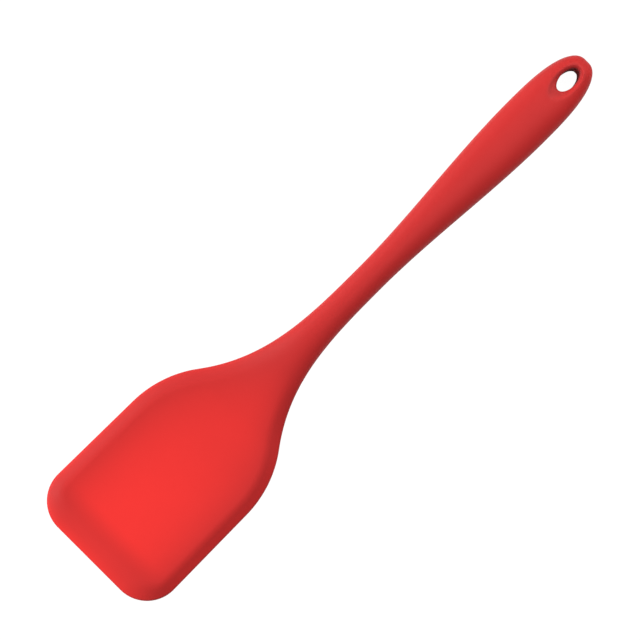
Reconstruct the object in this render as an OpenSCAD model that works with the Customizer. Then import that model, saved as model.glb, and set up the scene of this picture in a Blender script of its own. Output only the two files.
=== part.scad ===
// Seamless silicone turner: a red silicone skin moulded over a steel and nylon core.
// The tool lies face up on its sole. X runs from the blade's front edge to the hanging hole,
// Y across the blade and Z up. A place along the tool is given as s, the distance from the front edge.

/* [Blade] */
// Width across the front of the blade
blade_w = 77.4; // [72:0.2:82]
// Length of the sides, from the front edge to the shoulders
side_l = 67.4; // [60:0.2:74]
// How much each side draws in between the front corner and the shoulder
side_draw = 0.64; // [0.1:0.02:1.5]
// Radius of the front corners
corner_r = 17.8; // [14:0.2:22]
// Radius of the shoulders
shoulder_r = 56; // [50:1:60]
// Steepest angle of the outline, where a shoulder runs out into the neck
shoulder_a = 36.6; // [33:0.2:39]
// Thickness of the blade at the middle of its floor
floor_t = 4; // [3.8:0.1:4.8]
// How far the floor dips below the crest around it
dish = 0.5; // [0.2:0.1:1]
// Width of the bevel along the sides and the shoulders
bevel_side = 5.9; // [5:0.1:8]
// Width of the bevel along the front edge
bevel_front = 10.5; // [8:0.1:13]
// Thickness of the blade's edge
edge_t = 1.6; // [1.2:0.1:2.2]
// Height of the edge's underside above the table
edge_lift = 0.2; // [0.1:0.05:0.5]
// Height over which the crest is softened
crest_soft = 0.8; // [0.5:0.1:1.2]

/* [Neck] */
// Width of the neck at its narrowest
neck_w = 14.4; // [13:0.2:17]
// Thickness of the neck
neck_t = 11.2; // [10:0.2:13]
// Height of the neck's underside above the table
neck_lift = 6.4; // [4:0.2:9]
// Where the blade's sweep into the neck ends
sweep_end = 191; // [186:1:198]
// Where the neck reaches its full thickness
neck_at = 160; // [154:1:166]

/* [Handle] */
// Length of the whole tool
overall_l = 331.6; // [326:0.2:340]
// Width of the handle at its widest
handle_w = 25.4; // [23:0.1:28]
// Thickness of the handle
handle_t = 16.4; // [15:0.2:19]
// Where the handle starts to swell
swell_at = 187; // [180:1:192]
// Length of the rounded end, from the widest place to the tip
end_l = 39.6; // [36:0.2:43]
// Length over which the end rounds off, seen from the side
end_round = 12; // [10:0.5:16]

/* [Hanging hole] */
// Length of the oval hole
hole_l = 13.6; // [12:0.2:14.4]
// Width of the oval hole
hole_w = 7.7; // [7:0.1:8.6]
// Silicone and core left between the hole and the tip
hole_margin = 6.6; // [5.6:0.1:7.6]
// Depth of the hollow round the hole, at the hole's rim
lead_depth = 0.6; // [0.3:0.1:1.5]
// Width of the hollow beyond the hole's sides
lead_side = 2.4; // [1.6:0.1:3]
// Reach of the hollow beyond the hole, towards the blade
lead_blade = 6.4; // [4:0.1:7.6]
// Reach of the hollow beyond the hole, towards the tip
lead_tip = 2.6; // [2:0.1:3.4]

/* [Core] */
// Thickness of the blade plate
plate_t = 1.0; // [0.8:0.1:1.2]
// Silicone under the blade plate
plate_cover = 1.4; // [1.2:0.1:1.6]
// Silicone between the plate's edge and the blade's edge
plate_margin = 9; // [8:0.5:11]
// Diameter of the plate's key holes
key_d = 6; // [4:0.5:8]
// Distance between the rows of key holes
key_pitch = 15; // [12:0.5:18]
// Width of the plate's tang
tang_w = 11; // [10:0.5:12]
// Thickness of the stem bar
stem_t = 2.5; // [2:0.1:3]
// Width of the stem bar
stem_w = 8; // [7:0.5:9]
// Diameter of the rivets' shanks
rivet_d = 3; // [2.5:0.1:3.4]
// Diameter of the rivets' heads
rivet_head_d = 5.6; // [5:0.1:6]
// Height of the rivets' heads
rivet_head_t = 0.8; // [0.6:0.1:1]
// Silicone over the handle core
skin_t = 1.5; // [1.2:0.1:1.8]
// Silicone that lines the hole inside the core's eye
lining_t = 1.2; // [1:0.1:1.4]
// Wall of nylon on each side of the stem bar
boss_wall = 1.8; // [1.4:0.1:2.2]
// Thickness of the core's web
web_t = 2.6; // [2:0.1:3.2]
// Thickness of the core's cross ribs
rib_t = 2.4; // [1.8:0.1:3]
// Distance between the core's cross ribs
rib_pitch = 14; // [12:0.5:16]

/* [Hidden] */

red = "#d8322e";
steel = "#b9bcc0";
nylon = "#e9e4d6";

land = 0.4;            // height of the flat band where the mould halves meet
tip_w = 3;             // width of the flat at the very tip
sole_round = 3;        // width over which the sole rises to the edge
sole_least = 0.06;     // least height of the underside round the flat sole
bevel_crown = 0.15;    // how much the bevels bulge
end_full = 2.76;       // fullness of the rounded end near the widest place
end_square = 2.52;     // squareness of the rounded end near the tip
side_round = 2.5;      // squareness of the end, seen from the side
neck_n = 2.05;         // squareness of the neck's section, 2 is an ellipse
handle_n = 2.35;       // squareness of the handle's section
end_n = 2.9;           // squareness of the section near the tip
rise_lead = 20;        // how far before the shoulders' end the neck's top starts to rise
cut = 1;               // overshoot of every cutter
fine = 0.01;           // smallest step taken for a slope

half_blade = blade_w / 2;
half_neck = neck_w / 2;
edge_r = (edge_t - land) / 2;
edge_z = edge_lift + edge_t / 2;
crest_t = floor_t + dish;
belly_at = overall_l - end_l;

// The outline: a straight side, a round shoulder and a sweep that dies out in the neck.
draw_slope = side_draw / (side_l - corner_r);
draw_a = atan(draw_slope);
sweep_at = side_l + shoulder_r * (sin(shoulder_a) - sin(draw_a));
sweep_w = half_blade - side_draw - shoulder_r * (cos(draw_a) - cos(shoulder_a)) - half_neck;
sweep_n = tan(shoulder_a) * (sweep_end - sweep_at) / sweep_w;
turn_at = sweep_at - rise_lead;

function limit(v) = min(1, max(0, v));
function mix(a, b, k) = a + (b - a) * k;
function ramp(s, a, b) = let (u = limit((s - a) / (b - a))) u * u * (3 - 2 * u);
function superellipse(u, n, m) = pow(max(0, 1 - pow(limit(u), n)), 1 / m);
function soft_min(a, b, k) = min(a, b) - pow(max(0, k - abs(a - b)), 2) / (4 * k);

// Half width of the tool at s, before the corners and the tip are rounded.
function shoulder_w(s) =
    let (a = asin(sin(draw_a) + (s - side_l) / shoulder_r))
    half_blade - side_draw - shoulder_r * (cos(draw_a) - cos(a));
function sweep(s) = sweep_w * pow(1 - limit((s - sweep_at) / (sweep_end - sweep_at)), sweep_n);
function swell(s) = (handle_w - neck_w) / 2 * ramp(s, swell_at, belly_at);
function side_w(s) =
    s < side_l ? half_blade - draw_slope * max(0, s - corner_r)
    : s < sweep_at ? shoulder_w(s)
    : half_neck + sweep(s) + swell(s);

// Half width of the finished outline.
function outline(s) =
    s < corner_r ? side_w(s) - corner_r + sqrt(max(0, pow(corner_r, 2) - pow(corner_r - s, 2)))
    : max(tip_w / 2, side_w(s) * superellipse((s - belly_at) / end_l, end_full, end_square));

// Distance in from the outline, counted in corner radii, is 1 - edge_q.
function side_slope_a(s) = atan((side_w(s) - side_w(s + fine)) / fine);
function from_side(s, y) = max(0, (side_w(s) - abs(y)) * cos(side_slope_a(s)));
function side_q(s, y) = max(0, 1 - from_side(s, y) / corner_r);
function edge_q(s, y) = min(1, norm([side_q(s, y), max(0, 1 - s / corner_r)]));
function from_edge(s, y) = corner_r * (1 - edge_q(s, y));
function bevel_w(s, y) =
    let (q = edge_q(s, y))
    q <= 0 ? bevel_side : mix(bevel_front, bevel_side, pow(side_q(s, y) / q, 2));

// The blade: a dished floor inside a crest, bevelled down to a thin round edge, on a flat sole.
function edge_round(d) = sqrt(1 - pow(1 - limit(d / edge_r), 2));
function floor_top(s, y) =
    let (
        across = limit(abs(y) / (side_w(s) - bevel_side)),
        along = limit((s - bevel_front) / (sweep_at - bevel_front))
    )
    crest_t - dish * (1 - pow(across, 2)) * sin(180 * along);
function bevel_top(s, y) =
    let (d = from_edge(s, y), n = d / bevel_w(s, y), crown = 1 + bevel_crown * (1 - limit(n)))
    edge_z + land / 2 + edge_r * edge_round(d) + (crest_t - edge_z - edge_t / 2) * n * crown;
function blade_top(s, y) = soft_min(bevel_top(s, y), floor_top(s, y), crest_soft);
function blade_bottom(s, y) =
    let (d = from_edge(s, y))
    (edge_z - edge_t / 2) * (1 - ramp(d, 0, sole_round)) + edge_r * (1 - edge_round(d));

// The neck and the handle: ovals between a top line and a bottom line.
function top_line(s) =
    mix(mix(floor_t, neck_lift + neck_t, ramp(s, side_l, neck_at)), handle_t, ramp(s, neck_at, belly_at));
function bottom_line(s) = neck_lift * (ramp(s, turn_at, neck_at) - ramp(s, neck_at, belly_at));
function middle(s) = (top_line(s) + bottom_line(s)) / 2;
function half_t(s) =
    (top_line(s) - bottom_line(s)) / 2
    * superellipse((s - overall_l + end_round) / end_round, side_round, side_round);
function section_n(s) =
    mix(mix(neck_n, handle_n, ramp(s, swell_at, belly_at)), end_n, ramp(s, belly_at, overall_l - end_round));
function oval(s, y, inset) =
    let (n = section_n(s))
    max(land / 2, (half_t(s) - inset) * superellipse(abs(y) / (outline(s) - inset), n, n));

// The hollow round the hanging hole, the same above and below.
hole_at = overall_l - hole_margin - hole_l / 2;
lead_at = hole_at + (lead_tip - lead_blade) / 2;
lead_l = hole_l + lead_blade + lead_tip;
lead_w = hole_w + 2 * lead_side;
lead_rim = hole_w / lead_w;
function lead_in(s, y) =
    let (q = norm([(s - lead_at) / (lead_l / 2), y / (lead_w / 2)]))
    lead_depth * ramp(1 - q, 0, 1 - lead_rim);

// How far the blade's section has turned into the neck's oval.
function turn(s) = ramp(s, turn_at, neck_at - rise_lead / 2);
function top(s, y, inset = 0) =
    let (k = turn(s), grip = k > 0 ? middle(s) + oval(s, y, inset) - lead_in(s, y) : 0)
    k < 1 ? mix(blade_top(s, y), grip, k) : grip;
function sole(z) = z < sole_least ? 0 : z;
function bottom(s, y, inset = 0) =
    let (k = turn(s), grip = k > 0 ? middle(s) - oval(s, y, inset) + lead_in(s, y) : 0)
    k < 1 ? sole(mix(blade_bottom(s, y), grip, k)) : grip;

// A closed loft through rings: each ring runs over the top from side to side and back underneath.
function ring(s, half, steps, inset) = [
    for (i = [0:steps]) let (y = -half * cos(180 * i / steps)) [s, y, top(s, y, inset)],
    for (i = [0:steps]) let (y = half * cos(180 * i / steps)) [s, y, bottom(s, y, inset)]
];
module loft(rings) {
    n = len(rings[0]);
    last = (len(rings) - 1) * n;
    points = [for (r = rings) each r];
    sides = [
        for (i = [0:len(rings) - 2], k = [0:n - 1])
            let (a = i * n + k, b = i * n + (k + 1) % n)
            each [[a, b, b + n], [a, b + n, a + n]]
    ];
    ends = [
        for (k = [0:n / 2 - 2])
            let (a = k, b = k + 1, c = n - 2 - k, d = n - 1 - k)
            each [
                [a, d, c], [a, c, b],
                [last + a, last + c, last + d], [last + a, last + b, last + c]
            ]
    ];
    translate([-overall_l / 2, 0, 0])
        polyhedron(points = points, faces = concat(sides, ends), convexity = 8);
}

// Places of the skin's rings: close together where the outline turns quickly.
corner_steps = 12;
skin_steps = 20;
blade_gap = 3.3;
neck_gap = 5.5;
hole_gap = 1.2;
tip_steps = 9;
lead_from = lead_at - lead_l / 2 - hole_gap;
tip_l = overall_l - hole_at - hole_l / 2 + hole_gap;
function spread(a, b, gap) = let (n = ceil((b - a) / gap)) [for (i = [0:n - 1]) a + (b - a) * i / n];
skin_places = concat(
    [for (i = [0:corner_steps - 1]) corner_r * (1 - cos(90 * i / corner_steps))],
    spread(corner_r, neck_at, blade_gap),
    spread(neck_at, lead_from, neck_gap),
    spread(lead_from, overall_l - tip_l, hole_gap),
    [for (i = [0:tip_steps]) overall_l - tip_l * (1 - sin(90 * i / tip_steps))]
);
module skin_body() {
    loft([for (s = skin_places) ring(s, outline(s), skin_steps, 0)]);
}

module oval_hole(wall) {
    steps = 64;
    translate([hole_at - overall_l / 2, 0, -cut])
        linear_extrude(handle_t + 2 * cut)
            polygon([
                for (i = [0:steps - 1])
                    [(hole_l / 2 + wall) * cos(360 * i / steps), (hole_w / 2 + wall) * sin(360 * i / steps)]
            ]);
}

// The steel: the plate lies under a line that is flat in the blade, climbs into the neck and runs
// down the handle. The stem bar lies on that line.
bend_r = 18;
bend_steps = 6;
climb_lead = 3;        // how far behind the shoulders the climb starts
crest_lead = 8;        // how far before the neck's full thickness it ends
lap_lead = 16;         // from the start of the climb to the bar's front end
lap_gap = 6;           // from the tang's end to the end of the climb
rivet_lead = 8;        // from each rivet to the end of the lap
stem_gap = 8;          // nylon between the bar's end and the eye
plate_top = plate_cover + plate_t;
climb_at = sweep_at + climb_lead;
crest_at = neck_at - crest_lead;
stem_from = climb_at + lap_lead;
tang_to = crest_at - lap_gap;
stem_to = hole_at - hole_l / 2 - lining_t - stem_gap;
climb_z = middle(neck_at) - stem_t / 2;
end_z = middle(belly_at) - stem_t / 2;
climb_a = atan((climb_z - plate_top) / (crest_at - climb_at));
fall_a = atan((end_z - climb_z) / (stem_to - crest_at));
function bend(p, a, b) =
    let (
        r = b > a ? bend_r : -bend_r,
        start = p - bend_r * tan(abs(b - a) / 2) * [cos(a), sin(a)],
        centre = start + r * [-sin(a), cos(a)]
    )
    [for (i = [0:bend_steps]) let (v = mix(a, b, i / bend_steps)) centre + r * [sin(v), -cos(v)]];
steel_line = concat(
    [[0, plate_top]],
    bend([climb_at, plate_top], 0, climb_a),
    bend([crest_at, climb_z], climb_a, fall_a),
    [[overall_l, end_z]]
);
function line_normal(path, i) =
    let (d = path[min(i + 1, len(path) - 1)] - path[max(i - 1, 0)])
    [-d[1], d[0]] / norm(d);
function shifted(path, t) = [for (i = [0:len(path) - 1]) path[i] + t * line_normal(path, i)];
function reversed(list) = [for (i = [len(list) - 1:-1:0]) list[i]];
module strip(from, to) {
    translate([-overall_l / 2, half_blade, 0])
        rotate([90, 0, 0])
            linear_extrude(blade_w)
                polygon(concat(shifted(steel_line, from), reversed(shifted(steel_line, to))));
}
function climb_height(s) = plate_top + (s - climb_at) * tan(climb_a);
module at_rivets() {
    for (s = [stem_from + rivet_lead, tang_to - rivet_lead])
        translate([s - overall_l / 2, 0, climb_height(s)])
            rotate([0, -climb_a, 0])
                children();
}
module rivet_shanks() {
    at_rivets()
        translate([0, 0, -plate_t])
            cylinder(h = plate_t + stem_t, d = rivet_d, $fn = 32);
}

// The plate's plan: the blade's outline drawn in by the margin, then the tang.
plate_r = corner_r - plate_margin;
plate_gap = 4;
plate_steps = 8;
tang_r = tang_w / 2;
function arc(s, y, r, from, to) =
    [for (i = [0:plate_steps]) let (a = mix(from, to, i / plate_steps)) [s + r * cos(a), y + r * sin(a)]];
function plate_w(s) = max(tang_r, side_w(s) - plate_margin / cos(side_slope_a(s)));
plate_side = concat(
    arc(corner_r, half_blade - corner_r, plate_r, 180, 90),
    [for (s = spread(corner_r + plate_gap, tang_to - tang_r, plate_gap)) [s, plate_w(s)]],
    arc(tang_to - tang_r, 0, tang_r, 90, 0)
);
function mirrored(side) = concat(side, reversed([for (p = side) [p[0], -p[1]]]));
function inside_plate(s, y) = abs(y) < plate_w(s) - key_d;
key_spread = 0.64;     // from one column of key holes to the next, as a share of the room for them
key_cross = key_spread * (half_blade - side_draw - plate_margin - key_d);
key_rows = floor((climb_at - corner_r) / key_pitch);
module plate_keys() {
    for (i = [0:key_rows], j = [-2:2])
        let (s = corner_r + key_d / 2 + i * key_pitch, y = (j + (i % 2) / 2) * key_cross)
        if (inside_plate(s, y) && s < climb_at - key_d)
            translate([s - overall_l / 2, y, 0])
                cylinder(h = plate_top + cut, d = key_d, $fn = 32);
}

module plate_blank() {
    difference() {
        intersection() {
            strip(-plate_t, 0);
            translate([-overall_l / 2, 0, -cut])
                linear_extrude(handle_t + neck_lift)
                    polygon(mirrored(plate_side));
        }
        plate_keys();
    }
}

// The bar's plan: straight sides and round ends, with key holes for the nylon.
stem_keys = 4;
stem_key_d = stem_w / 2;
core_from = swell_at + rib_pitch;
module stem_blank() {
    intersection() {
        strip(0, stem_t);
        translate([0, 0, -cut])
            linear_extrude(handle_t + neck_lift)
                difference() {
                    union() {
                        translate([stem_from + stem_w / 2 - overall_l / 2, -stem_w / 2])
                            square([stem_to - stem_from - stem_w, stem_w]);
                        for (s = [stem_from + stem_w / 2, stem_to - stem_w / 2])
                            translate([s - overall_l / 2, 0])
                                circle(d = stem_w, $fn = 48);
                    }
                    for (i = [0:stem_keys - 1])
                        translate([mix(core_from, stem_to, (i + 0.5) / stem_keys) - overall_l / 2, 0])
                            circle(d = stem_key_d, $fn = 32);
                }
    }
}

// The handle core before the bar is taken out of it: the handle's own shape drawn in by the skin,
// pocketed on both faces between cross ribs, with an eye round the hanging hole.
core_steps = 10;
core_gap = 4;
eye_gap = 2;
core_to = overall_l - 2 * skin_t;
core_places = concat(spread(core_from, lead_from, core_gap), spread(lead_from, core_to, eye_gap), core_to);
function core_half(s) = outline(s) - skin_t * norm([1, (outline(s) - outline(s + fine)) / fine]);
boss_w = stem_w + 2 * boss_wall;
pocket_from = core_from + 2 * rib_pitch;
pockets = floor((lead_from - skin_t - pocket_from) / rib_pitch);
module core_pockets() {
    for (i = [0:pockets - 1], side = [-1, 1], face = [-1, 1])
        let (s = pocket_from + (i + 0.5) * rib_pitch)
        translate([
            s - overall_l / 2,
            side * (boss_w + handle_w) / 4,
            middle(s) + face * (web_t + handle_t) / 4
        ])
            cube([rib_pitch - rib_t, (handle_w - boss_w) / 2, (handle_t - web_t) / 2], center = true);
}
module core_blank() {
    difference() {
        loft([for (s = core_places) ring(s, core_half(s), core_steps, skin_t)]);
        core_pockets();
        oval_hole(lining_t);
    }
}

module blade_plate() {
    color(steel)
        difference() {
            plate_blank();
            rivet_shanks();
        }
}

module stem_bar() {
    color(steel)
        difference() {
            stem_blank();
            rivet_shanks();
        }
}

module stem_rivets() {
    face_d = rivet_head_d - rivet_head_t;
    color(steel) {
        at_rivets() {
            translate([0, 0, -plate_t])
                cylinder(h = plate_t + stem_t, d = rivet_d, $fn = 32);
            translate([0, 0, stem_t])
                cylinder(h = rivet_head_t, d1 = rivet_head_d, d2 = face_d, $fn = 32);
            translate([0, 0, -plate_t - rivet_head_t])
                cylinder(h = rivet_head_t, d1 = face_d, d2 = rivet_head_d, $fn = 32);
        }
    }
}

module handle_core() {
    color(nylon)
        difference() {
            core_blank();
            stem_blank();
        }
}

module silicone_skin() {
    color(red)
        difference() {
            skin_body();
            plate_blank();
            stem_blank();
            core_blank();
            stem_rivets();
            oval_hole(0);
        }
}

silicone_skin();
blade_plate();
stem_bar();
stem_rivets();
handle_core();
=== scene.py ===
# %% [markdown]
# # A seamless silicone turner
#
# This kitchen turner is one skin of red silicone, moulded in a single shot over a stiff core of steel
# and nylon. The CAD model already holds every solid in its true place and size. Here each of them gets
# its finish, and the skin is made again from the same rules with many more points, so that its bevels,
# its thin moulding lip and the hollow round its hanging hole catch the light as the real ones do.
#
# The CAD model is loaded first, because every later step takes its places from it.

# %% Load the CAD model and measure it
import math
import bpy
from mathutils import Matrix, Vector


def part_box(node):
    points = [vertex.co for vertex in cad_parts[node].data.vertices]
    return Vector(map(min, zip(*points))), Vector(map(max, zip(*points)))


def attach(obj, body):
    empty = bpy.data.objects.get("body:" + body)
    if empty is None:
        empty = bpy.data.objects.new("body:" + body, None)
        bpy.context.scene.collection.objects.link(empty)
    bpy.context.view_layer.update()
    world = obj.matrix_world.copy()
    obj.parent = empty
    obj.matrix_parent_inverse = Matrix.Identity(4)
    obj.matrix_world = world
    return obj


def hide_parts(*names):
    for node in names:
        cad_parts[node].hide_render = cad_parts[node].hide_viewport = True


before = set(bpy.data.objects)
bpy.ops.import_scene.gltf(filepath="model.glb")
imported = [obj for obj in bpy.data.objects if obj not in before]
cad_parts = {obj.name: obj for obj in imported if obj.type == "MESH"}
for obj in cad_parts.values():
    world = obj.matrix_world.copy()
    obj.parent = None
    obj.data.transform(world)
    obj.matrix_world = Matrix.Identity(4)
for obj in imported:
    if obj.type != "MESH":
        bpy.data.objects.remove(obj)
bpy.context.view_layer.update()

from types import SimpleNamespace

import bpy

MM = 0.001
scene = bpy.context.scene
skin_low, skin_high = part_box("silicone_skin")
overall_length = skin_high.x - skin_low.x
print("CAD nodes:", ", ".join(sorted(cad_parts)))
print(f"overall length {overall_length / MM:.1f} mm, blade {(skin_high.y - skin_low.y) / MM:.1f} mm wide")

# %% [markdown]
# ## The camera
#
# The turner lies flat on its sole and is seen from straight above, with the handle running up to the
# right. A long lens from a metre away keeps the outline almost free of perspective, yet the far wall
# of the hanging hole still shows. The camera looks along -Z when it isn't turned at all, so one turn
# about Z is enough to lay the tool across the picture's diagonal.

# %% Place the camera
SENSOR_MM = 36.0        # width of Blender's own camera sensor
camera_height = 1.0
lens_mm = 118.8
aim_x = -8.76 * MM
aim_y = 2.61 * MM
diagonal = math.radians(45)

camera_data = bpy.data.cameras.new("camera")
camera_data.lens = lens_mm
camera = bpy.data.objects.new("camera", camera_data)
camera.location = (aim_x, aim_y, camera_height)
camera.rotation_euler = (0, 0, -diagonal)
scene.collection.objects.link(camera)
scene.camera = camera
print(f"the camera sees {SENSOR_MM / lens_mm * camera_height / MM:.0f} mm at the table")

# %% [markdown]
# ## The table
#
# A pale sheet that glows a little itself, like the lit acrylic tables that small goods are shown on,
# takes the hard edge off every shadow. A plain white plane would need far more lamp light to look as
# bright, and that light would wash out the red. The sheet's back lets light and sight through, and so
# does its front where it is all but touched, so the sole of the turner can be looked at from below.

# %% Lay the table
scene.view_settings.view_transform = "Standard"     # colours come out as they are mixed


def new_material(name):
    """Gives a material with an empty node tree and its output node."""
    material = bpy.data.materials.new(name)
    material.use_nodes = True
    material.node_tree.nodes.clear()
    return material, material.node_tree.nodes.new("ShaderNodeOutputMaterial")


def add_node(tree, kind, **settings):
    """Adds a node; each setting is one of its properties."""
    made = tree.nodes.new(kind)
    for name, value in settings.items():
        setattr(made, name, value)
    return made


table_colour = (0.60, 0.60, 0.60, 1)
table_glow = 0.98       # seen by the camera alone
table_share = 0.15      # of the lit table under that glow
table_side = 6.0
table_gap = 0.02 * MM   # keeps the table out of the plane of the sole
touch_reach = 3.0 * MM  # the table is clear to what lies nearer than this

table_finish, table_out = new_material("lit_table")
tree = table_finish.node_tree
matt = add_node(tree, "ShaderNodeBsdfDiffuse")
matt.inputs["Color"].default_value = table_colour
glow = add_node(tree, "ShaderNodeEmission")
glow.inputs["Strength"].default_value = table_glow
shown = add_node(tree, "ShaderNodeAddShader")
dim = add_node(tree, "ShaderNodeBsdfDiffuse")
dim.inputs["Color"].default_value = (*[c * table_share for c in table_colour[:3]], 1)
seen = add_node(tree, "ShaderNodeMixShader")
ray = add_node(tree, "ShaderNodeLightPath")
clear = add_node(tree, "ShaderNodeBsdfTransparent")
side = add_node(tree, "ShaderNodeMixShader")
facing = add_node(tree, "ShaderNodeNewGeometry")
tree.links.new(dim.outputs[0], shown.inputs[0])
tree.links.new(glow.outputs[0], shown.inputs[1])
tree.links.new(ray.outputs["Is Camera Ray"], seen.inputs[0])
tree.links.new(matt.outputs[0], seen.inputs[1])
tree.links.new(shown.outputs[0], seen.inputs[2])
touching = add_node(tree, "ShaderNodeMath", operation="LESS_THAN")
touching.inputs[1].default_value = touch_reach
open_to = add_node(tree, "ShaderNodeMath", operation="MAXIMUM")
tree.links.new(ray.outputs["Ray Length"], touching.inputs[0])
tree.links.new(facing.outputs["Backfacing"], open_to.inputs[0])
tree.links.new(touching.outputs[0], open_to.inputs[1])
tree.links.new(open_to.outputs[0], side.inputs[0])
tree.links.new(seen.outputs[0], side.inputs[1])
tree.links.new(clear.outputs[0], side.inputs[2])
tree.links.new(side.outputs[0], table_out.inputs["Surface"])

table_mesh = bpy.data.meshes.new("table")
half_side = table_side / 2
corners = [
    (-half_side, -half_side, 0),
    (half_side, -half_side, 0),
    (half_side, half_side, 0),
    (-half_side, half_side, 0),
]
table_mesh.from_pydata(corners, [], [(0, 1, 2, 3)])
table_mesh.materials.append(table_finish)
table = bpy.data.objects.new("table", table_mesh)
table.location.z = -table_gap
scene.collection.objects.link(table)
print(f"{table.name}: {table_side} m square, {table_gap / MM} mm under the sole")

# %% [markdown]
# ## The lamps
#
# Matt rubber shows its form by slow changes of tone, so every lamp is a large soft square. The
# strongest stands low beyond the front edge and to the +Y side, and gives the bevels, the neck and the
# handle their light and dark flanks. The next one hangs high beyond the handle's end and fills the
# flat places, and weaker ones open the shadows. Each is placed by the way it lies, turned clockwise
# from +Y, and by how high it stands over the table.

# %% Hang the lamps
room_light = 0.197
world = bpy.data.worlds.new("room")
world.use_nodes = True
world.node_tree.nodes["Background"].inputs["Color"].default_value = (1, 1, 1, 1)
world.node_tree.nodes["Background"].inputs["Strength"].default_value = room_light
scene.world = world

LAMP_DISTANCE = 1.4
lamps = {
    "key_lamp": dict(turn=315, rise=25, size=0.9, power=15.4),
    "end_lamp": dict(turn=90, rise=55, size=0.9, power=12.1),
    "side_lamp": dict(turn=0, rise=25, size=0.9, power=6.1),
    "front_lamp": dict(turn=270, rise=55, size=0.9, power=1.7),
    "low_lamp": dict(turn=90, rise=25, size=0.9, power=0.9),
}
for name, lamp in lamps.items():
    data = bpy.data.lights.new(name, "AREA")
    data.size = lamp["size"]
    data.energy = lamp["power"]
    held = bpy.data.objects.new(name, data)
    turn, rise = math.radians(lamp["turn"]), math.radians(lamp["rise"])
    level = LAMP_DISTANCE * math.cos(rise)
    held.location = (level * math.sin(turn), level * math.cos(turn), LAMP_DISTANCE * math.sin(rise))
    held.rotation_mode = "QUATERNION"
    held.rotation_quaternion = (-held.location).to_track_quat("-Z", "Y")
    scene.collection.objects.link(held)
    print(f"{name}: {lamp['size']} m square, {lamp['power']} W")

# %% [markdown]
# ## The silicone
#
# Silicone rubber looks neither like paint nor like gloss plastic. Its surface carries the fine
# sand-blasted grain of the mould, so it shines only softly. The skin's own mesh carries an attribute
# called "glow", near 1 in the middle of the blade and 0 or less where the red is deepest, and the
# finish mixes a deep and a bright red by it. The Mix node takes what lies outside 0 and 1 as 0 and 1.
# Much of that mix is painted light and painted shade: lighter edges and flanks where the lamps fall,
# and a darker crease and hole rim where shade falls. Grain, a faint unevenness and a little dust-like
# sheen come from noise and from the shader's own sockets.

# %% Make helpers for the finishes


def noise(tree, scale, detail=2.0):
    """Noise on the object's own coordinates; scale is in lumps per metre."""
    place = add_node(tree, "ShaderNodeTexCoord")
    made = add_node(tree, "ShaderNodeTexNoise")
    made.inputs["Scale"].default_value = scale
    made.inputs["Detail"].default_value = detail
    tree.links.new(place.outputs["Object"], made.inputs["Vector"])
    return made.outputs["Fac"]


def stretch(tree, value, low, high):
    """Takes a value of 0 to 1 to the range from low to high."""
    made = add_node(tree, "ShaderNodeMapRange")
    made.inputs["To Min"].default_value = low
    made.inputs["To Max"].default_value = high
    tree.links.new(value, made.inputs["Value"])
    return made.outputs["Result"]


def bump(tree, height, depth, under=None):
    """Turns a height of 0 to 1 into a bump of that depth in metres."""
    made = add_node(tree, "ShaderNodeBump")
    made.inputs["Strength"].default_value = 1.0
    made.inputs["Distance"].default_value = depth
    tree.links.new(height, made.inputs["Height"])
    if under is not None:
        tree.links.new(under, made.inputs["Normal"])
    return made.outputs["Normal"]


def shader(tree, out, **numbers):
    """Adds the main shader, with plain numbers set straight on its sockets."""
    made = add_node(tree, "ShaderNodeBsdfPrincipled")
    for name, value in numbers.items():
        made.inputs[name.replace("_", " ")].default_value = value
    tree.links.new(made.outputs[0], out.inputs["Surface"])
    return made


def mixed(tree, share, first, second):
    """Mixes two colours by a share."""
    made = add_node(tree, "ShaderNodeMix", data_type="RGBA")
    made.inputs[6].default_value = first
    made.inputs[7].default_value = second
    tree.links.new(share, made.inputs[0])
    return made.outputs[2]


print("noise, stretch, bump, shader and mixed are ready")

# %% Mix the silicone's finish
deep_red = (0.3525, 0.0161, 0.0166, 1)
bright_red = (0.85, 0.0280, 0.0236, 1)
CLOUD_LUMPS = 60                    # all lumps are counted per metre
CLOUD_SHARE = 0.03                  # of the bright red, more or less
POLISH_LUMPS = 900
SMOOTHEST = 0.46
ROUGHEST = 0.60
WAVE_LUMPS = 130
WAVE_DEPTH = 0.02 * MM
GRAIN_LUMPS = 3800
GRAIN_DEPTH = 0.012 * MM

silicone, silicone_out = new_material("red_silicone")
tree = silicone.node_tree
shine = dict(IOR=1.41, Specular_IOR_Level=0.25, Sheen_Weight=0.10, Sheen_Roughness=0.45)
body = shader(tree, silicone_out, **shine)
# The "glow" attribute mixes the two reds: lighter in the middle of the blade, deeper at the edges, and in
# many places painted light and painted shade.
glow_and_painted_light_attribute = add_node(tree, "ShaderNodeAttribute", attribute_name="glow")
painted_light_and_unevenness = add_node(tree, "ShaderNodeMath", operation="ADD")
tree.links.new(glow_and_painted_light_attribute.outputs["Fac"], painted_light_and_unevenness.inputs[0])
clouds = stretch(tree, noise(tree, CLOUD_LUMPS, detail=3), -CLOUD_SHARE, CLOUD_SHARE)
tree.links.new(clouds, painted_light_and_unevenness.inputs[1])
tree.links.new(mixed(tree, painted_light_and_unevenness.outputs[0], deep_red, bright_red), body.inputs["Base Color"])
polish = stretch(tree, noise(tree, POLISH_LUMPS), SMOOTHEST, ROUGHEST)
tree.links.new(polish, body.inputs["Roughness"])
waves = bump(tree, noise(tree, WAVE_LUMPS), WAVE_DEPTH)
grain = bump(tree, noise(tree, GRAIN_LUMPS), GRAIN_DEPTH, under=waves)
tree.links.new(grain, body.inputs["Normal"])
print(f"{silicone.name}: {len(tree.nodes)} nodes")

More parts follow.
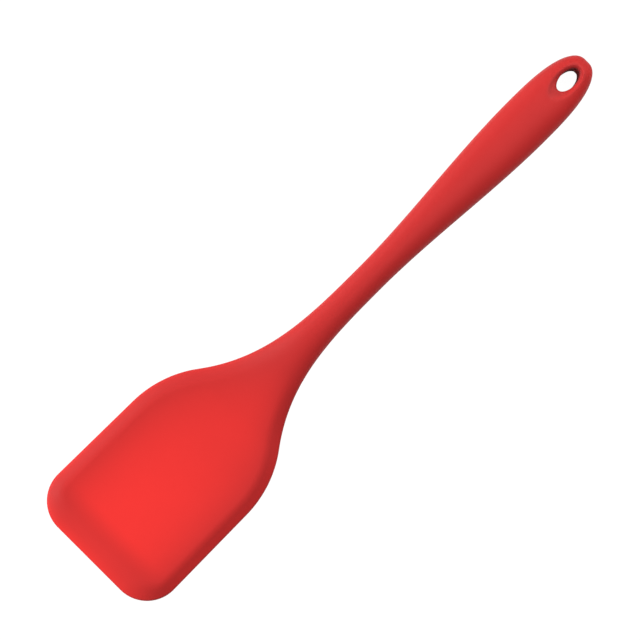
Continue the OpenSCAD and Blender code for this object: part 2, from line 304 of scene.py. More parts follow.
# %% [markdown]
# ## Writing a shape as a rule
#
# The skin's shape follows a rule: at any place `s` along the tool and `y` across it, the rule says how
# high the top and the underside are. Such a rule can be written down once as arithmetic and left to
# Geometry Nodes, which work it out for every point of a plain grid and lift the grid into the skin.
# Written by hand in nodes, a long formula is hard to read. So `Number` stands for "a number that the
# tree works out at every point", and its +, -, * and / add the Math nodes. A formula then reads like
# a formula, and the tree it leaves can still be opened and its named inputs changed.

# %% A number that adds its own nodes
class Number:
    """A number that the tree works out at every point."""

    def __init__(self, socket):
        self.socket = socket

    def __add__(self, other):
        return work("ADD", self, other)

    def __sub__(self, other):
        return work("SUBTRACT", self, other)

    def __mul__(self, other):
        return work("MULTIPLY", self, other)

    def __truediv__(self, other):
        return work("DIVIDE", self, other)

    def __pow__(self, other):
        return work("POWER", self, other)

    def __lt__(self, other):
        return work("LESS_THAN", self, other)

    def __gt__(self, other):
        return work("GREATER_THAN", self, other)

    def __rsub__(self, other):
        return work("SUBTRACT", other, self)

    def __rtruediv__(self, other):
        return work("DIVIDE", other, self)

    __radd__ = __add__
    __rmul__ = __mul__


def plug(value, socket):
    """Joins a Number to a socket, or writes a plain value into it."""
    if isinstance(value, Number):
        rule.links.new(value.socket, socket)
    else:
        socket.default_value = value


def work(operation, *values, clamp=False):
    """Adds one Math node to the rule."""
    made = add_node(rule, "ShaderNodeMath", operation=operation, use_clamp=clamp)
    for value, socket in zip(values, made.inputs):
        plug(value, socket)
    return Number(made.outputs[0])


print("+, -, *, /, **, < and > now add nodes")

# %% Name the arithmetic that the rule needs


def limit(value):
    """The value, but never under 0 or over 1."""
    return work("ADD", value, 0.0, clamp=True)


def least(a, b):
    """The smaller of two values."""
    return work("MINIMUM", a, b)


def most(a, b):
    """The larger of two values."""
    return work("MAXIMUM", a, b)


def size_of(value):
    """The value without its sign."""
    return work("ABSOLUTE", value)


def root(value):
    """The square root."""
    return work("SQRT", value)


def mix(a, b, share):
    """a at a share of 0, b at a share of 1."""
    return a + (b - a) * share


def ramp(value, low, high):
    """0 up to low, 1 from high on, and an S-curve in between."""
    made = add_node(rule, "ShaderNodeMapRange", interpolation_type="SMOOTHSTEP")
    plug(value, made.inputs["Value"])
    plug(low, made.inputs["From Min"])
    plug(high, made.inputs["From Max"])
    return Number(made.outputs["Result"])


def between(value, rise, fall):
    """0 outside two ranges, 1 between them: it climbs over the first and drops over the second."""
    return ramp(value, *rise) * (1.0 - ramp(value, *fall))


def superellipse(share, fullness, squareness):
    """Height of an oval over its middle, at a share of its half width; higher powers are squarer."""
    return most(0.0, 1.0 - limit(share) ** fullness) ** (1.0 / squareness)


def soft_least(a, b, soft):
    """The smaller of two values, rounded over where they come within `soft` of each other."""
    near = most(0.0, soft - size_of(a - b))
    return least(a, b) - near * near / (soft * 4.0)


print("limit, least, most, mix, ramp, between, superellipse and soft_least are ready")

# %% [markdown]
# ## The sizes of the skin
#
# These are the sizes that the CAD source gives the skin. Length and width are read from the CAD model
# itself and the others are written here once, in metres, with one angle in radians. Each becomes a
# named input of the tree. Two forms are this scene's own: the lip is the fine raised line that the
# joint between the mould halves leaves all round the tool, and the rim is the soft edge of the
# hanging hole.

# %% Name the sizes
sizes = dict(
    overall_length=overall_length,
    blade_width=skin_high.y - skin_low.y,
    side_length=67.4 * MM,
    side_draw=0.64 * MM,
    corner_radius=17.8 * MM,
    shoulder_radius=56 * MM,
    shoulder_angle=math.radians(36.6),
    floor_thickness=4.0 * MM,
    dish=0.5 * MM,
    side_bevel=5.9 * MM,
    front_bevel=10.5 * MM,
    edge_thickness=1.6 * MM,
    edge_lift=0.2 * MM,
    crest_softness=0.8 * MM,
    neck_width=14.4 * MM,
    neck_thickness=11.2 * MM,
    neck_lift=6.4 * MM,
    sweep_end=191 * MM,
    neck_place=160 * MM,
    handle_width=25.4 * MM,
    handle_thickness=16.4 * MM,
    swell_start=187 * MM,
    end_length=39.6 * MM,
    end_round=12 * MM,
    hole_length=13.6 * MM,
    hole_width=7.7 * MM,
    hole_margin=6.6 * MM,
    hollow_depth=0.6 * MM,
    hollow_side=2.4 * MM,
    hollow_to_blade=6.4 * MM,
    hollow_to_tip=2.6 * MM,
    lip_thickness=0.3 * MM,
    lip_reach=0.14 * MM,
    rim_reach=2.2 * MM,
    rim_depth=0.9 * MM,
)

rule = bpy.data.node_groups.new("silicone_skin_rule", "GeometryNodeTree")
rule.interface.new_socket("Skin", in_out="OUTPUT", socket_type="NodeSocketGeometry")
identifiers = {}
for name, value in sizes.items():
    title = name.replace("_", " ")
    wanted = rule.interface.new_socket(title, in_out="INPUT", socket_type="NodeSocketFloat")
    wanted.default_value = value
    identifiers[name] = wanted.identifier
given = rule.nodes.new("NodeGroupInput")
z = SimpleNamespace(**{name: Number(given.outputs[name.replace("_", " ")]) for name in sizes})
print(f"{len(sizes)} named sizes go into the skin's rule")

# %% [markdown]
# ## The outline
#
# Seen from above, the blade's sides run straight back from round front corners and draw in a little.
# Each shoulder is one large arc. From the arc's steepest place a sweep that slows down steadily, like
# a power curve, carries the outline into the neck without a kink. Behind the neck the handle swells
# on an S-curve and ends in a squared oval.

# %% Write the outline's rule
SIDE_TAPER = 2.76        # fullness of the handle's end near its widest place
TIP_SQUARENESS = 2.52    # squareness of the handle's end near its tip
TIP_HALF = 1.5 * MM      # half width that is left at the very tip
SLOPE_STEP = 0.1 * MM    # step over which the outline's slope is measured

half_blade = z.blade_width / 2.0
half_neck = z.neck_width / 2.0
belly_place = z.overall_length - z.end_length
draw_slope = z.side_draw / (z.side_length - z.corner_radius)
draw_angle = work("ARCTANGENT", draw_slope)
shoulder_rise = work("SINE", z.shoulder_angle) - work("SINE", draw_angle)
sweep_start = z.side_length + z.shoulder_radius * shoulder_rise
side_at_shoulder = half_blade - z.side_draw - z.shoulder_radius * work("COSINE", draw_angle)
sweep_width = side_at_shoulder + z.shoulder_radius * work("COSINE", z.shoulder_angle) - half_neck
sweep_power = work("TANGENT", z.shoulder_angle) * (z.sweep_end - sweep_start) / sweep_width


def side_width(s):
    """Half width at s, before the corners and the tip are rounded."""
    straight = half_blade - draw_slope * most(0.0, s - z.corner_radius)
    turned = work("ARCSINE", work("SINE", draw_angle) + (s - z.side_length) / z.shoulder_radius)
    shoulder = side_at_shoulder + z.shoulder_radius * work("COSINE", turned)
    left = 1.0 - limit((s - sweep_start) / (z.sweep_end - sweep_start))
    swell = (z.handle_width - z.neck_width) / 2.0 * ramp(s, z.swell_start, belly_place)
    behind = half_neck + sweep_width * left ** sweep_power + swell
    return mix(mix(behind, shoulder, s < sweep_start), straight, s < z.side_length)


def outline(s, side):
    """Half width of the finished outline at s."""
    r = z.corner_radius
    corner = side - r + root(most(0.0, r * r - (r - s) * (r - s)))
    end = side * superellipse((s - belly_place) / z.end_length, SIDE_TAPER, TIP_SQUARENESS)
    return mix(most(TIP_HALF, end), corner, s < r)


print(f"with the outline's fixed points the rule holds {len(rule.nodes)} nodes")

# %% [markdown]
# ## The blade
#
# The blade is a flat sole under a floor that dips by less than a millimetre. A crest runs all round
# the floor, and outside it a bevel slopes down to a thin round edge. What the bevel needs is the true
# distance in from the edge, also round the corners, where the nearest edge point lies on an arc.
# Dividing that distance by the corner's radius makes the corner a unit circle, so one formula serves
# the sides, the corners and the front.

# %% Write the blade's rule
BEVEL_CROWN = 0.15        # how much the bevels bulge
SOLE_ROUND = 3 * MM       # width over which the sole rises to the edge
NEARLY_NOTHING = 0.0001   # keeps a division away from 0

edge_radius = (z.edge_thickness - z.lip_thickness) / 2.0
edge_height = z.edge_lift + z.edge_thickness / 2.0
crest_height = z.floor_thickness + z.dish


def distance_in(s, y, side, slope):
    """Distance in from the edge, and the bevel's own width there."""
    across = most(0.0, 1.0 - most(0.0, (side - size_of(y)) * slope) / z.corner_radius)
    along = most(0.0, 1.0 - s / z.corner_radius)
    out = root(across * across + along * along)
    share = across / most(out, NEARLY_NOTHING)
    front_share = (1.0 - share * share) * (NEARLY_NOTHING < out)
    bevel = mix(z.side_bevel, z.front_bevel, front_share)
    return z.corner_radius * (1.0 - least(1.0, out)), bevel


def rounded(distance):
    """Height share of a quarter-round edge, outside which only the lip is left."""
    left = 1.0 - limit((distance - z.lip_reach) / edge_radius)
    return root(1.0 - left * left)


def blade_heights(s, y, side, slope):
    """Top and underside of the blade, and the distance in from its edge."""
    inwards, bevel = distance_in(s, y, side, slope)
    across = limit(size_of(y) / (side - z.side_bevel))
    along = limit((s - z.front_bevel) / (sweep_start - z.front_bevel))
    floor = crest_height - z.dish * (1.0 - across * across) * work("SINE", along * math.pi)
    share = inwards / bevel
    crown = 1.0 + BEVEL_CROWN * (1.0 - limit(share))
    climb = (crest_height - edge_height - z.edge_thickness / 2.0) * share * crown
    edge_top = edge_height + z.lip_thickness / 2.0 + edge_radius * rounded(inwards)
    top = soft_least(edge_top + climb, floor, z.crest_softness)
    edge_floor = edge_height - z.edge_thickness / 2.0
    under = edge_floor * (1.0 - ramp(inwards, 0.0, SOLE_ROUND)) + edge_radius * (1.0 - rounded(inwards))
    return top, under, inwards


print(f"with the blade's fixed heights it holds {len(rule.nodes)} nodes")

# %% [markdown]
# ## The neck and the handle
#
# Behind the shoulders the tool is an oval in section. Seen from the side, its top line and its bottom
# line climb from the blade to the neck and come down again to the handle's belly, which is what lifts
# a cook's knuckles off the pan. The handle's section is a little squarer than the neck's. Round the
# hanging hole a shallow hollow leads a hook in from both faces. From the shoulders to the neck the
# blade's heights turn into the oval's on one long S-curve.

# %% Write the handle's rule
NECK_SQUARENESS = 2.05
HANDLE_SQUARENESS = 2.35
END_SQUARENESS = 2.9
SIDE_SQUARENESS = 2.5   # of the end, seen from the side
RISE_LEAD = 20 * MM     # how far before the shoulders' end the top starts to rise

hole_place = z.overall_length - z.hole_margin - z.hole_length / 2.0
hollow_place = hole_place + (z.hollow_to_tip - z.hollow_to_blade) / 2.0
hollow_length = z.hole_length + z.hollow_to_blade + z.hollow_to_tip
hollow_width = z.hole_width + 2.0 * z.hollow_side
turn_start = sweep_start - RISE_LEAD


def hollow(s, y):
    """Depth of the hollow round the hanging hole."""
    along = (s - hollow_place) / (hollow_length / 2.0)
    across = y / (hollow_width / 2.0)
    out = root(along * along + across * across)
    return z.hollow_depth * ramp(1.0 - out, 0.0, 1.0 - z.hole_width / hollow_width)


def handle_heights(s, y, half_width):
    """Top and underside of the neck and the handle."""
    to_neck = ramp(s, z.side_length, z.neck_place)
    to_belly = ramp(s, z.neck_place, belly_place)
    neck_top = mix(z.floor_thickness, z.neck_lift + z.neck_thickness, to_neck)
    top_line = mix(neck_top, z.handle_thickness, to_belly)
    bottom_line = z.neck_lift * (ramp(s, turn_start, z.neck_place) - to_belly)
    end = (s - z.overall_length + z.end_round + z.lip_reach) / z.end_round
    half = (top_line - bottom_line) / 2.0 * superellipse(end, SIDE_SQUARENESS, SIDE_SQUARENESS)
    square = mix(NECK_SQUARENESS, HANDLE_SQUARENESS, ramp(s, z.swell_start, belly_place))
    square = mix(square, END_SQUARENESS, ramp(s, belly_place, z.overall_length - z.end_round))
    share = size_of(y) / (half_width - z.lip_reach)
    oval = most(z.lip_thickness / 2.0, half * superellipse(share, square, square))
    middle = (top_line + bottom_line) / 2.0
    dip = hollow(s, y)
    return middle + oval - dip, middle - oval + dip


def heights(s, y, side, half_width):
    """Top and underside of the whole skin, the distance in from its edge, and the edge's slope."""
    fall = (side - side_width(s + SLOPE_STEP)) / SLOPE_STEP
    slope = 1.0 / root(1.0 + fall * fall)
    blade_top, blade_under, inwards = blade_heights(s, y, side, slope)
    grip_top, grip_under = handle_heights(s, y, half_width)
    turn = ramp(s, turn_start, z.neck_place - RISE_LEAD / 2.0)
    return mix(blade_top, grip_top, turn), mix(blade_under, grip_under, turn), inwards, slope


print(f"with the places of the hole and its hollow it holds {len(rule.nodes)} nodes")

# %% [markdown]
# ## How deep the red is, with painted light and shade
#
# The red is lightest in the middle of the blade. Towards the sides, the front and the neck it deepens,
# but over the bevels and right at the edges it is lighter again. The handle is a deep red, a little
# lighter along its flanks, and the walls and the rim of the hanging hole are the deepest. Much of this
# is painted light and painted shade: lighter edges, flanks and tip where the lamps fall, and painted
# shade in the crease behind the -Y shoulder and round the hanging hole. The shader could follow the
# light inside the rubber, but that is slow and hard to steer. So this rule gives each point its share
# of the bright red, one gain or loss at a time. `across` is -1 at the -Y side and 1 at the +Y side.

# %% Write the blade's part of the red and its painted highlights
FLOOR_RED_SHARE = 0.95           # in the middle of the blade
SIDE_LOSS = 0.75            # from there out to a side bevel
SIDE_FALL = 2.6             # a higher power keeps that loss nearer the side
SIDE_REACH = 34.6 * MM
BEVEL_GAIN = 0.2            # over the bevel's outer part, up to the side
BEVEL_REACH = 4 * MM
FRONT_RED_SHARE = 0.7            # left of it all at the front edge
FRONT_FALL = 22.0           # lost per metre from there inwards
FRONT_FOOT = (9 * MM, 22 * MM)      # where that gives way to the blade's full glow
BACK_LOSS = 0.82            # from the blade to the neck
BACK_FALL = 1.35
BACK_START = 32 * MM
BACK_REACH = 112 * MM
FRONT_EDGE_GAIN = 0.2
FRONT_EDGE_LEAN = 0.16      # painted highlight added to it at the +Y side, where the key lamp falls, taken from it at the other
FRONT_EDGE_REACH = 5 * MM
FRONT_EDGE_END = (4 * MM, 20 * MM)
LIT_EDGE_HIGHLIGHT = 0.16       # painted highlight along the front and the +Y side, none at the -Y side
LIT_EDGE_REACH = 1.6 * MM


def fading(distance, reach):
    """1 at no distance, falling in a straight line to 0 at the reach."""
    return 1.0 - limit(distance / reach)


def blade_red_and_painted_light(s, across, from_side, inwards):
    """Brightest in the middle, less towards the sides, the front and the neck, with painted highlights on
    the lit edges.
    """
    sides = FLOOR_RED_SHARE - SIDE_LOSS * fading(from_side - BEVEL_REACH, SIDE_REACH) ** SIDE_FALL
    sides = sides + BEVEL_GAIN * fading(from_side, BEVEL_REACH)
    front = mix(FRONT_RED_SHARE - FRONT_FALL * s, 1.0, ramp(s, *FRONT_FOOT))
    back = 1.0 - BACK_LOSS * limit((s - BACK_START) / BACK_REACH) ** BACK_FALL
    front_edge = fading(inwards, FRONT_EDGE_REACH) * (1.0 - ramp(s, *FRONT_EDGE_END))
    front_edge = front_edge * (FRONT_EDGE_GAIN + FRONT_EDGE_LEAN * across)
    lit_edge_highlight = LIT_EDGE_HIGHLIGHT * limit(1.0 + across) * fading(inwards, LIT_EDGE_REACH)
    return sides * front * back + front_edge + lit_edge_highlight


print(f"blade: {FLOOR_RED_SHARE} in the middle, {FLOOR_RED_SHARE - SIDE_LOSS:.2f} beside a bevel")

# %% Write the painted light and shade on the shoulders and the handle
SHOULDER_GAIN = 0.05
FLANK_GAIN = 0.36           # painted light, most of it between the middle and the -Y flank
FLANK_WIDTH = 0.75
SHOULDER_RISE = (78 * MM, 98 * MM)
SHOULDER_FALL = (108 * MM, 132 * MM)
CREASE_PAINTED_SHADE = 0.14          # painted shade along the -Y edge, where the blade's bevel runs out
CREASE_START = 0.6
CREASE_WIDTH = 0.3
CREASE_RISE = (95 * MM, 112 * MM)
CREASE_FALL = (118 * MM, 132 * MM)
SHANK_GAIN = 0.04           # from the neck to the handle's end
SHANK_LEAN = 0.05           # painted light, more on the +Y side, where the key lamp falls
SHANK_FLANKS = 0.09         # more on both
SHANK_RISE = (125 * MM, 150 * MM)
HANDLE_GAIN = 0.05
HANDLE_RISE = (215 * MM, 305 * MM)
END_LEAN = 0.1              # less on the +Y side of the handle's end
END_RISE = (300 * MM, 318 * MM)
TIP_GAIN = 0.18             # painted light beyond the hanging hole
TIP_LEAN = 0.05             # less on its +Y side
TIP_START = 6 * MM          # counted from the hole's middle
TIP_RISE = 4 * MM


def shoulder_painted_light_and_shade(s, across):
    """Painted light over the shoulders, painted shade in the crease behind the -Y one."""
    flank = limit(across / -FLANK_WIDTH)
    gain = SHOULDER_GAIN + FLANK_GAIN * flank * (1.0 - flank)
    crease = CREASE_PAINTED_SHADE * limit((across + CREASE_START) / -CREASE_WIDTH)
    return gain * between(s, SHOULDER_RISE, SHOULDER_FALL) - crease * between(s, CREASE_RISE, CREASE_FALL)


def handle_painted_light_and_shade(s, across):
    """Painted light and shade: more along the flanks and beyond the hanging hole, less on the +Y side of
    the end.
    """
    shank = ramp(s, *SHANK_RISE) * (SHANK_GAIN + SHANK_LEAN * across + SHANK_FLANKS * across * across)
    handle = HANDLE_GAIN * ramp(s, *HANDLE_RISE) - END_LEAN * across * ramp(s, *END_RISE)
    tip_start = hole_place + TIP_START
    tip = (TIP_GAIN - TIP_LEAN * across) * ramp(s, tip_start, tip_start + TIP_RISE)
    return shank + handle + tip


print(f"shoulders: up to {SHOULDER_GAIN + FLANK_GAIN / 4:.2f} more, the crease: {CREASE_PAINTED_SHADE} less")

# %% Write the hole's painted shade and add them all up
# Painted shade: the rim of the hanging hole and the hollow round it are darkened in the colour.
RIM_LOSS = 0.28
RIM_LOSS_ALONG = 0.25       # more of it beyond the hole, less before it
RIM_LOSS_ACROSS = 0.12      # more of it on the +Y side, less on the other
SHADE_REACH = 0.34          # outwards from the rim, in shares of the hole's own half length and width
SHADE_SHORTER = 0.12        # by which that is less beyond the hole
WALL_LOSS = 0.04            # where the hollow falls steepest
WALL_LEAN = 0.22            # more of it on the +Y side
WALL_FLANKS = 0.08          # more of it on both
FLOOR_LOSS = 0.16           # on the hollow's floor, before the hole
BASE_RED_SHARE = 0.2             # left for the losses to take from


def hole_painted_shade(s, y):
    """Painted shade round the hanging hole: on its rim, down the hollow's wall and on the hollow's floor.
    """
    along = (s - hole_place) / (z.hole_length / 2.0)
    across = y / (z.hole_width / 2.0)
    out = most(1.0, root(along * along + across * across))
    along = along / out
    across = across / out
    reach = SHADE_REACH - SHADE_SHORTER * limit(along)
    rim = 1.0 - limit((out - 1.0) / reach) ** 2.0
    rim = rim * (RIM_LOSS + RIM_LOSS_ALONG * along + RIM_LOSS_ACROSS * across)
    dip = hollow(s, y) / z.hollow_depth
    wall = 4.0 * dip * (1.0 - dip) * (WALL_LOSS + WALL_LEAN * across + WALL_FLANKS * across * across)
    floor = FLOOR_LOSS * dip ** 3.0 * limit(-1.0 * along)
    return rim + wall + floor


def red_share_and_painted_light(s, y, side, slope, inwards):
    """Share of the bright red, painted light and painted shade included: most in the middle of the blade,
    least round the hanging hole.
    """
    across = y / side
    from_side = (side - size_of(y)) * slope
    # glow here is the sum of the shares above, painted light and painted shade among them.
    glow = blade_red_and_painted_light(s, across, from_side, inwards) + shoulder_painted_light_and_shade(s, across)
    return BASE_RED_SHARE + (1.0 - BASE_RED_SHARE) * (glow + handle_painted_light_and_shade(s, across) - hole_painted_shade(s, y))


print(f"the middle of the blade gets {BASE_RED_SHARE + (1.0 - BASE_RED_SHARE) * FLOOR_RED_SHARE:.2f} of the bright red")

# %% [markdown]
# ## From a plain grid to a tube of rings
#
# Two plain grids are enough for the whole skin. The first becomes a tube of rings from the front edge
# to a little before the hanging hole: its columns are the rings, and its rows run over the top and
# back underneath. Rings lie closest where the corners turn fast, and points lie closest at both
# edges, where the lip is.

# %% Lift the first grid into a tube of rings
CORNER_RINGS = 40
BLADE_RINGS = 104
HANDLE_RINGS = 116
HALF_STEPS = 92         # steps from one edge to the other
EYE_LEAD = 1.5 * MM     # from the tube's last ring to the hollow


def new_grid(columns, rows):
    """Adds a grid and gives its mesh and each point's column and row."""
    made = add_node(rule, "GeometryNodeMeshGrid")
    made.inputs["Size X"].default_value = columns - 1
    made.inputs["Size Y"].default_value = rows - 1
    made.inputs["Vertices X"].default_value = columns
    made.inputs["Vertices Y"].default_value = rows
    place = add_node(rule, "GeometryNodeInputPosition")
    parts = add_node(rule, "ShaderNodeSeparateXYZ")
    rule.links.new(place.outputs[0], parts.inputs[0])
    column = work("ROUND", Number(parts.outputs[0]) + (columns - 1) / 2)
    row = work("ROUND", Number(parts.outputs[1]) + (rows - 1) / 2)
    return made.outputs["Mesh"], column, row


def lift(mesh, s, y, height, share_with_painted_light):
    """Moves a grid's points to their places and stores the "glow" share, painted light and shade
    included, on them.
    """
    stored = add_node(rule, "GeometryNodeStoreNamedAttribute", data_type="FLOAT", domain="POINT")
    stored.inputs["Name"].default_value = "glow"
    plug(share_with_painted_light, stored.inputs["Value"])
    rule.links.new(mesh, stored.inputs["Geometry"])
    place = add_node(rule, "ShaderNodeCombineXYZ")
    for value, socket in zip((s - z.overall_length / 2.0, y, height), place.inputs):
        plug(value, socket)
    moved = add_node(rule, "GeometryNodeSetPosition")
    rule.links.new(stored.outputs[0], moved.inputs["Geometry"])
    rule.links.new(place.outputs[0], moved.inputs["Position"])
    return moved.outputs[0]


eye_start = hollow_place - hollow_length / 2.0 - EYE_LEAD
ring_count = 1 + CORNER_RINGS + BLADE_RINGS + HANDLE_RINGS + 1
tube, column, row = new_grid(ring_count, 2 * HALF_STEPS + 3)

# The rings: first round the front corners, then evenly along the blade and along the handle.
ring = most(0.0, column - 1.0)
corner_turn = least(ring / float(CORNER_RINGS), 1.0) * (math.pi / 2)
in_corner = z.corner_radius * (1.0 - work("COSINE", corner_turn))
along_blade = limit((ring - float(CORNER_RINGS)) / float(BLADE_RINGS))
in_blade = mix(z.corner_radius, sweep_start, along_blade)
after_blade = limit((ring - float(CORNER_RINGS + BLADE_RINGS)) / float(HANDLE_RINGS))
s = mix(sweep_start, eye_start, after_blade)
s = mix(s, in_blade, ring < float(CORNER_RINGS + BLADE_RINGS))
s = mix(s, in_corner, ring < float(CORNER_RINGS))

# The rows: over the top from one edge to the other, back underneath, and again to the first row.
row = row * (row < 2 * HALF_STEPS + 1.5)
over_top = row < HALF_STEPS + 0.5
step = row - (1.0 - over_top) * float(HALF_STEPS + 1)
side = side_width(s)
half_width = outline(s, side)
swing = half_width * work("COSINE", step * (math.pi / HALF_STEPS))
y = swing * (1.0 - 2.0 * over_top)
top, under, inwards, slope = heights(s, y, side, half_width)
height = mix(under, top, over_top)
height = mix(height, edge_height, column < 0.5)
tube = lift(tube, s, y, height, red_share_and_painted_light(s, y, side, slope, inwards))
print(f"the tube has {ring_count} rings of {2 * HALF_STEPS + 2} points")

# %% [markdown]
# ## The eye of the handle
#
# A hole can't be lifted out of a tube of rings. So the second grid is wrapped round it: each of its
# rows is a loop round the hole, growing from the hole's oval to the outline of the handle's end. The
# rim and the hollow then follow the grain of the mesh instead of cutting across it.

# %% Wrap the second grid round the hanging hole
TIP_STEPS = 46
FACE_STEPS = 38
WALL_STEPS = 8

around = HALF_STEPS + 2 * TIP_STEPS + 1
eye, column, row = new_grid(around + 1, 2 * FACE_STEPS + WALL_STEPS + 2)
column = column * (column < around - 0.5)

# The loop's outer end: first across the tube's last ring, then round the outline to where it began.
cross = least(column, float(HALF_STEPS))
turned = column - float(HALF_STEPS)
near_side = turned < TIP_STEPS + 0.5
tip_step = mix(float(2 * TIP_STEPS + 1) - turned, turned, near_side)
on_outline = 0.5 < turned
bow = work("SINE", limit(tip_step / float(TIP_STEPS)) * (math.pi / 2))
outer_s = mix(eye_start, z.overall_length, bow * on_outline)
outer_side = side_width(outer_s)
outer_half = outline(outer_s, outer_side)
across_ring = -1.0 * (outer_half * work("COSINE", cross * (math.pi / HALF_STEPS)))
outer_y = mix(across_ring, outer_half * (2.0 * near_side - 1.0), on_outline)

# The loop's inner end: the point of the hole's oval in the same direction.
angle = work("ARCTAN2", outer_y / z.hole_width, (outer_s - hole_place) / z.hole_length)
inner_s = hole_place + z.hole_length / 2.0 * work("COSINE", angle)
inner_y = z.hole_width / 2.0 * work("SINE", angle)

# The rows: in along the underside, up the wall, out over the top, and back to the first row.
last_row = 2 * FACE_STEPS + WALL_STEPS + 1
row = row * (row < last_row - 0.5)
wall_share = limit((row - float(FACE_STEPS)) / float(WALL_STEPS))
from_hole = most(float(FACE_STEPS) - row, row - float(FACE_STEPS + WALL_STEPS))
out_share = (1.0 - work("COSINE", limit(from_hole / float(FACE_STEPS)) * math.pi)) / 2.0
s = mix(inner_s, outer_s, out_share)
y = mix(inner_y, outer_y, out_share)
side = side_width(s)
top, under, inwards, slope = heights(s, y, side, outline(s, side))
gap = root((s - inner_s) * (s - inner_s) + (y - inner_y) * (y - inner_y))
left = 1.0 - limit(gap / z.rim_reach)
rim = z.rim_depth * (1.0 - root(1.0 - left * left))
height = mix(under + rim, top - rim, wall_share)
eye = lift(eye, s, y, height, red_share_and_painted_light(s, y, side, slope, inwards))
print(f"the eye has {around} columns round the hole")

# %% [markdown]
# ## One closed skin
#
# The tube's last ring and the eye lie on the same points. Of the eye, the faces that lie flat in that
# ring would wall off the inside, so they are deleted. Points in the same place are then merged, and
# the skin is one closed surface. At last the tree runs once on an empty object, and only its plain
# result is kept: a plain mesh is what the export takes.

# %% Close the grids into one skin
JOINT_SLACK = 0.001 * MM
MERGE_DISTANCE = 0.002 * MM

here = add_node(rule, "GeometryNodeInputPosition")
parts = add_node(rule, "ShaderNodeSeparateXYZ")
rule.links.new(here.outputs[0], parts.inputs[0])
on_joint = Number(parts.outputs[0]) < eye_start - z.overall_length / 2.0 + JOINT_SLACK
opened = add_node(rule, "GeometryNodeDeleteGeometry", domain="FACE")
rule.links.new(eye, opened.inputs["Geometry"])
plug(on_joint, opened.inputs["Selection"])

joined = add_node(rule, "GeometryNodeJoinGeometry")
rule.links.new(tube, joined.inputs[0])
rule.links.new(opened.outputs[0], joined.inputs[0])
merged = add_node(rule, "GeometryNodeMergeByDistance")
merged.inputs["Distance"].default_value = MERGE_DISTANCE
smooth = add_node(rule, "GeometryNodeSetShadeSmooth")
real = add_node(rule, "GeometryNodeRealizeInstances")
finish = add_node(rule, "GeometryNodeSetMaterial")
finish.inputs["Material"].default_value = silicone
end = rule.nodes.new("NodeGroupOutput")
chain = [joined, merged, smooth, real, finish, end]
for first, second in zip(chain, chain[1:]):
    rule.links.new(first.outputs[0], second.inputs[0])
print(f"the skin's rule holds {len(rule.nodes)} nodes")

# %% Turn the rule into the skin's mesh


def grow(name, tree, values, sockets):
    """Runs a tree on an empty object and keeps the result as a plain mesh."""
    piece = bpy.data.objects.new(name, bpy.data.meshes.new(name))
    scene.collection.objects.link(piece)
    modifier = piece.modifiers.new("rule", "NODES")
    modifier.node_group = tree
    for key, value in values.items():
        modifier[sockets[key]] = value
    depsgraph = bpy.context.evaluated_depsgraph_get()
    mesh = bpy.data.meshes.new_from_object(piece.evaluated_get(depsgraph), depsgraph=depsgraph)
    piece.modifiers.clear()
    piece.data = mesh
    mesh.name = name
    return piece


skin = grow("silicone_skin_surface", rule, sizes, identifiers)
shares = [point.value for point in skin.data.attributes["glow"].data]
print(f"{skin.name}: {len(skin.data.vertices)} points, {len(skin.data.polygons)} faces")
print(f"its share of the bright red runs from {min(shares):.2f} to {max(shares):.2f}")

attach(skin, "root")
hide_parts("silicone_skin")

# %% [markdown]
# ## The core
#
# Inside the skin lie a spring-steel plate, a steel bar, the rivets that join them, and a ribbed nylon
# core. They're the CAD model's own solids, so only their finish is made here: rolled steel has fine
# lines along the tool, and glass-filled nylon is matt, off-white and faintly mottled.

# %% Mix the steel's finish
LINE_DARKNESS = 0.82    # tone of the dark lines beside the light ones
LINE_DETAIL = 4.0
LINE_DEPTH = 0.01 * MM


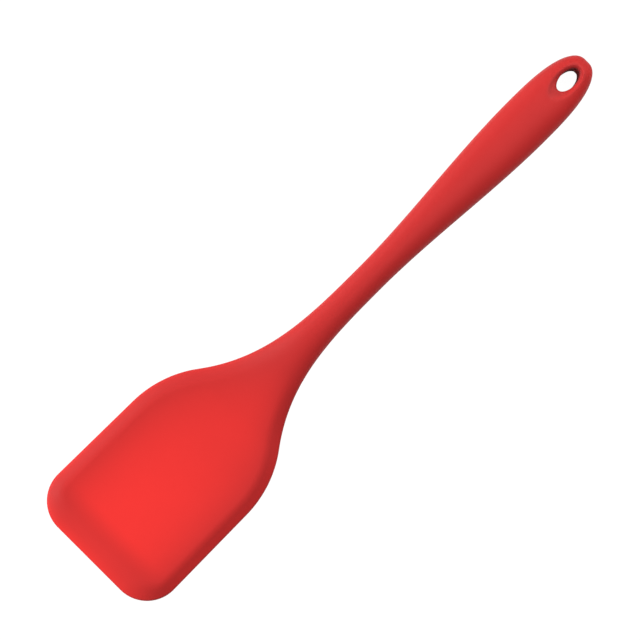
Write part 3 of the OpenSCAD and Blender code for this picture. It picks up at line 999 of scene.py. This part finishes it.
def steel_finish(name, colour, line_lumps, smoothest, roughest):
    """Rolled steel: noise drawn out along the tool shades the colour and the roughness."""
    material, out = new_material(name)
    tree = material.node_tree
    metal = shader(tree, out, Metallic=1.0)
    place = add_node(tree, "ShaderNodeTexCoord")
    drawn = add_node(tree, "ShaderNodeMapping")
    drawn.inputs["Scale"].default_value = line_lumps
    lines = add_node(tree, "ShaderNodeTexNoise")
    lines.inputs["Scale"].default_value = 1.0
    lines.inputs["Detail"].default_value = LINE_DETAIL
    tree.links.new(place.outputs["Object"], drawn.inputs["Vector"])
    tree.links.new(drawn.outputs[0], lines.inputs["Vector"])
    darker = [part * LINE_DARKNESS for part in colour]
    shade = mixed(tree, lines.outputs["Fac"], (*darker, 1), (*colour, 1))
    polish = stretch(tree, lines.outputs["Fac"], smoothest, roughest)
    tree.links.new(shade, metal.inputs["Base Color"])
    tree.links.new(polish, metal.inputs["Roughness"])
    tree.links.new(bump(tree, lines.outputs["Fac"], LINE_DEPTH), metal.inputs["Normal"])
    return material


plate_steel = steel_finish(
    "rolled_plate_steel",
    colour=(0.62, 0.63, 0.65),
    line_lumps=(60, 3000, 3000),
    smoothest=0.22,
    roughest=0.38,
)
bar_steel = steel_finish(
    "drawn_bar_steel",
    colour=(0.52, 0.53, 0.55),
    line_lumps=(90, 4200, 4200),
    smoothest=0.30,
    roughest=0.46,
)
rivet_steel = steel_finish(
    "turned_rivet_steel",
    colour=(0.70, 0.70, 0.71),
    line_lumps=(2500, 2500, 900),
    smoothest=0.18,
    roughest=0.30,
)
print(f"{plate_steel.name}, {bar_steel.name} and {rivet_steel.name} are mixed")

# %% Mix the nylon's finish and dress the core
nylon_shadow = (0.70, 0.66, 0.55, 1)
nylon_light = (0.82, 0.79, 0.70, 1)
MOTTLE_LUMPS = 500
RESIN_LUMPS = 1500
RESIN_SMOOTHEST = 0.45
RESIN_ROUGHEST = 0.62
FIBRE_LUMPS = 2500
FIBRE_DEPTH = 0.02 * MM

nylon, nylon_out = new_material("glass_filled_nylon")
tree = nylon.node_tree
resin = shader(tree, nylon_out, IOR=1.53)
mottle = mixed(tree, noise(tree, MOTTLE_LUMPS, detail=4), nylon_shadow, nylon_light)
polish = stretch(tree, noise(tree, RESIN_LUMPS), RESIN_SMOOTHEST, RESIN_ROUGHEST)
tree.links.new(mottle, resin.inputs["Base Color"])
tree.links.new(polish, resin.inputs["Roughness"])
tree.links.new(bump(tree, noise(tree, FIBRE_LUMPS), FIBRE_DEPTH), resin.inputs["Normal"])

finishes = {
    "blade_plate": plate_steel,
    "stem_bar": bar_steel,
    "stem_rivets": rivet_steel,
    "handle_core": nylon,
}
for node_name, material in finishes.items():
    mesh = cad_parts[node_name].data
    mesh.materials.clear()
    mesh.materials.append(material)
    print(f"{node_name}: {material.name}")

# %% [markdown]
# ## The end

# %% Finish
print("the scene is built")
